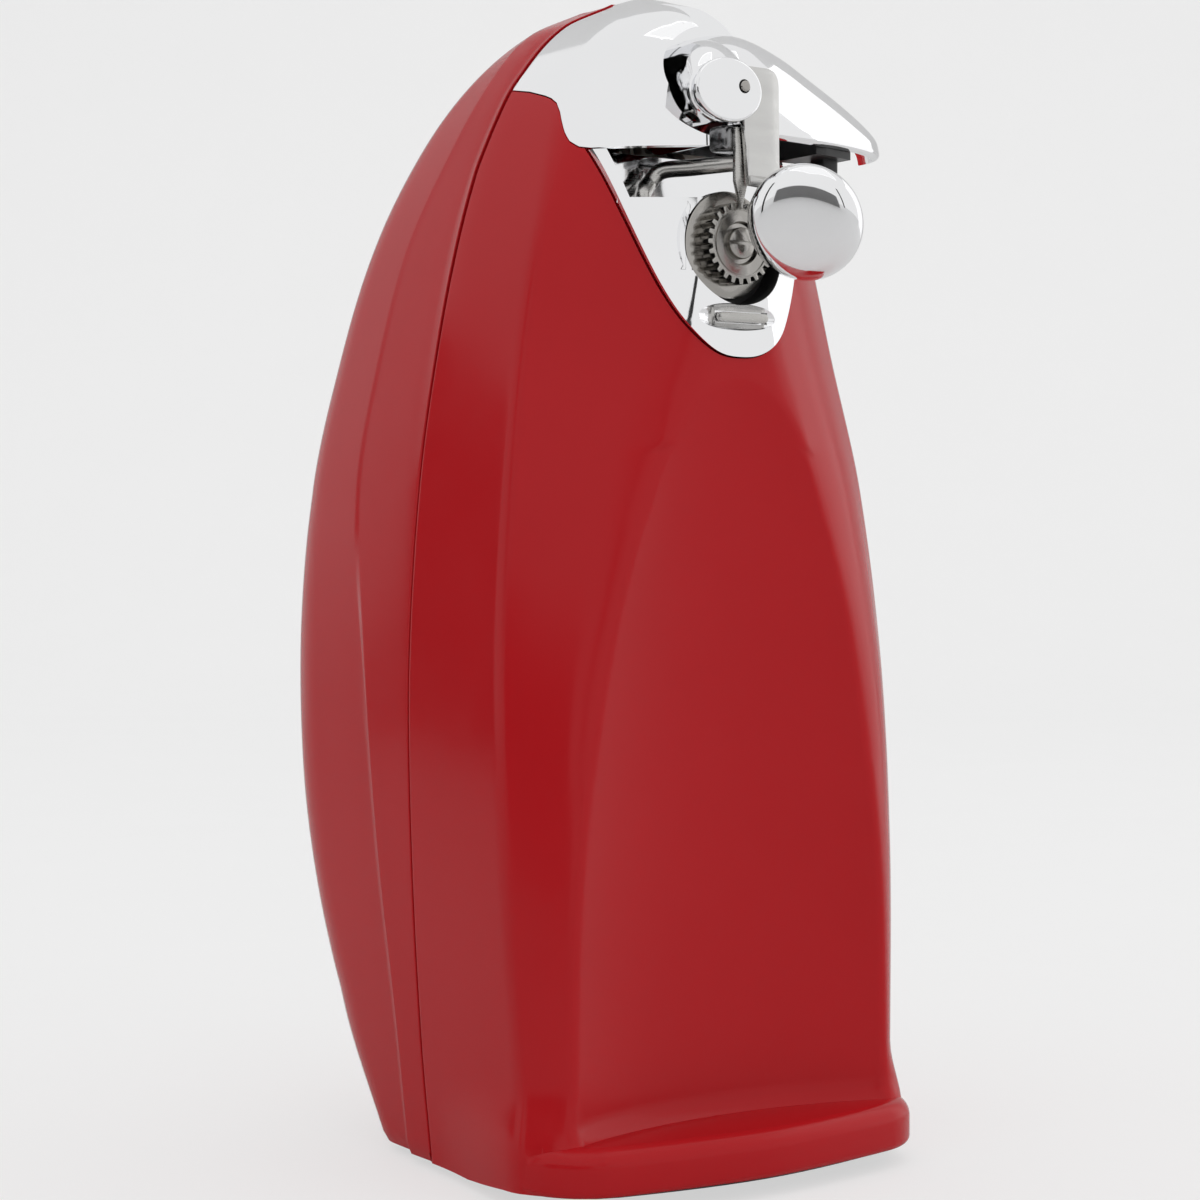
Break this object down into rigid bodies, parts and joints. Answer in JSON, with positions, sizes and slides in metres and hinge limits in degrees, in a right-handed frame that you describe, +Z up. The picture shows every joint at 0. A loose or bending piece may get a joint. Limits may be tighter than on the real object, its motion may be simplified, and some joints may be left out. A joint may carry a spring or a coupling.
{
  "type": "electric can opener",
  "caption": "Tall countertop can opener: glossy two-shell body with a scooped front and base lip, chrome cap, lifting lever with cutter and lid magnet, toothed drive wheel.",
  "frame": {"origin": "middle of the footprint, on the surface that the feet stand on", "axes": "+Z up, front (lever, drive wheel, can recess) towards -Y, lever tip towards +X"},
  "size_m": [0.1062, 0.1454, 0.2602],
  "materials": {
    "red_plastic": "high gloss",
    "chrome": "polished plating",
    "black_plastic": "satin",
    "foot_rubber": "matte",
    "white_plastic": "satin",
    "steel": "brushed",
    "iron": "dark, machined",
    "brass": "satin",
    "copper_wire": null,
    "stone": null
  },
  "bodies": {
    "housing": {"base_plate": "black_plastic", "base_screw_1": "steel", "base_screw_2": "steel", "base_screw_3": "steel", "base_screw_4": "steel", "bearing_plate": "steel", "can_guide_rod": "steel", "can_rest_bar": "steel", "chassis_screw_1": "steel", "chassis_screw_2": "steel", "chassis_screw_3": "steel", "chassis_screw_4": "steel", "chrome_cap": "chrome", "coil_bobbin": "white_plastic", "cord_gland": "black_plastic", "face_plate": "chrome", "face_plate_screw_1": "steel", "face_plate_screw_2": "steel", "field_coil": "copper_wire", "foot_1": "foot_rubber", "foot_2": "foot_rubber", "foot_3": "foot_rubber", "foot_4": "foot_rubber", "front_bushing": "brass", "front_housing": "red_plastic", "front_motor_bracket": "steel", "gear_pin": "steel", "gear_plate": "steel", "knife_guide": "black_plastic", "motor_bolt_1": "steel", "motor_bolt_2": "steel", "plate_post_1": "steel", "plate_post_2": "steel", "rear_bushing": "brass", "rear_cover": "red_plastic", "rear_motor_bracket": "steel", "stator": "iron", "switch_body": "black_plastic"},
    "lever": {"lever": "chrome", "lever_liner": "black_plastic", "lever_post": "steel", "switch_cam": "white_plastic", "cutter_holder": "iron", "cutter_blade": "steel", "magnet_pin": "steel"},
    "lid_magnet_arm": {"magnet_arm": "chrome", "magnet_housing": "chrome", "lid_magnet": "steel"},
    "drive_train": {"drive_wheel": "steel", "wheel_bolt": "steel", "drive_shaft": "steel", "output_gear": "white_plastic"},
    "idler": {"compound_gear": "white_plastic"},
    "motor": {"rotor": "iron", "motor_shaft": "steel", "motor_pinion": "brass", "cooling_fan": "white_plastic", "knife_stone": "stone"},
    "switch_button": {"switch_plunger": "white_plastic"}
  },
  "joints": [
    {"name": "lever_lift", "type": "hinge", "parent": "housing", "child": "lever", "pos_m": [-0.003, -0.03332, 0.2373], "axis": [0, -1, 0], "range_deg": [-4, 30]},
    {"name": "magnet_swing", "type": "hinge", "parent": "lever", "child": "lid_magnet_arm", "pos_m": [-0.0028, -0.04932, 0.2344], "axis": [0, -1, 0], "range_deg": [0, 75]},
    {"name": "motor_spin", "type": "hinge", "parent": "housing", "child": "motor", "pos_m": [0, 0.02168, 0.1471], "axis": [0, -1, 0], "continuous": true},
    {"name": "idler_spin", "type": "hinge", "parent": "housing", "child": "idler", "pos_m": [0.006, -0.00932, 0.17445], "axis": [0, -1, 0], "continuous": true},
    {"name": "wheel_spin", "type": "hinge", "parent": "housing", "child": "drive_train", "pos_m": [0, -0.02132, 0.2018], "axis": [0, -1, 0], "continuous": true},
    {"name": "switch_press", "type": "slide", "parent": "housing", "child": "switch_button", "axis": [0, 0, -1], "range_m": [0, 0.0015], "stiffness_N_per_m": 300, "springref_m": -0.001}
  ],
  "couplings": [
    {"joint": "idler_spin", "follows": "motor_spin", "ratio": -0.16667},
    {"joint": "wheel_spin", "follows": "motor_spin", "ratio": 0.027778}
  ]
}
